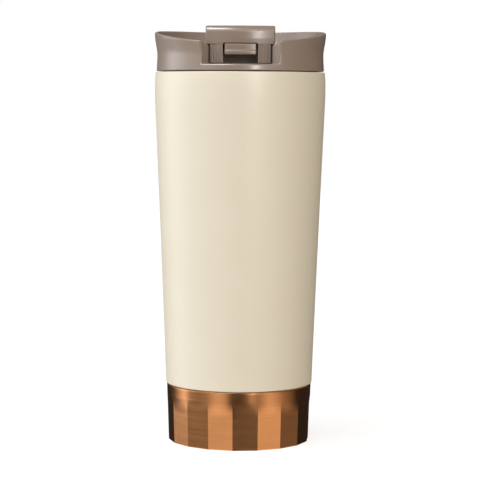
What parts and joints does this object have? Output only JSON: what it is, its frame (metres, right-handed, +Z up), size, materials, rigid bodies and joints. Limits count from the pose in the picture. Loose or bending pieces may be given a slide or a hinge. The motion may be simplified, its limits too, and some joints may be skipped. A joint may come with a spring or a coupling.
{
  "type": "insulated tumbler with flip lid",
  "caption": "Tapered vacuum-insulated steel tumbler in cream powder coat with a faceted copper base and a push-on taupe lid: hinged flip lever, sip stopper, sprung lock button",
  "frame": {"origin": "centre of the base on the surface it stands on", "axes": "+Z up along the tumbler's axis, -Y to the front with the lid's notch and lock button, +X to the right seen from the front"},
  "size_m": [0.0802, 0.0801, 0.1944],
  "materials": {
    "cream_powder_coat": "fine satin powder coat",
    "stainless_steel": "brushed",
    "getter_metal": "sintered matte",
    "seal_solder": "cast satin",
    "copper_plate": "horizontally brushed copper plating",
    "taupe_plastic": "satin moulded polypropylene",
    "grey_silicone": "matte silicone",
    "pin_steel": "drawn wire"
  },
  "bodies": {
    "cup": {"outer_shell": "cream_powder_coat", "inner_liner": "stainless_steel", "outer_bottom": "stainless_steel", "getter": "getter_metal", "vacuum_seal": "seal_solder", "base_cup": "copper_plate"},
    "lid": {"lid_shell": "taupe_plastic", "lid_plug": "taupe_plastic", "lid_gasket": "grey_silicone", "hinge_pin": "pin_steel"},
    "lever": {"lever_cover": "taupe_plastic", "stopper_carrier": "taupe_plastic", "stopper": "grey_silicone", "vent_plug": "grey_silicone", "lock_spring": "pin_steel"},
    "button": {"lock_button": "taupe_plastic"}
  },
  "joints": [
    {"name": "lid_lift", "type": "slide", "parent": "cup", "child": "lid", "axis": [0, 0, 1], "range_m": [0, 0.04]},
    {"name": "lever_flip", "type": "hinge", "parent": "lid", "child": "lever", "pos_m": [0, 0.0055, 0.1889], "axis": [-1, 0, 0], "range_deg": [0, 110]},
    {"name": "lock_press", "type": "slide", "parent": "lever", "child": "button", "axis": [0, 1, 0], "range_m": [0, 0.002], "stiffness_N_per_m": 600, "springref_m": -0.001, "deforming": ["lock_spring"]}
  ]
}
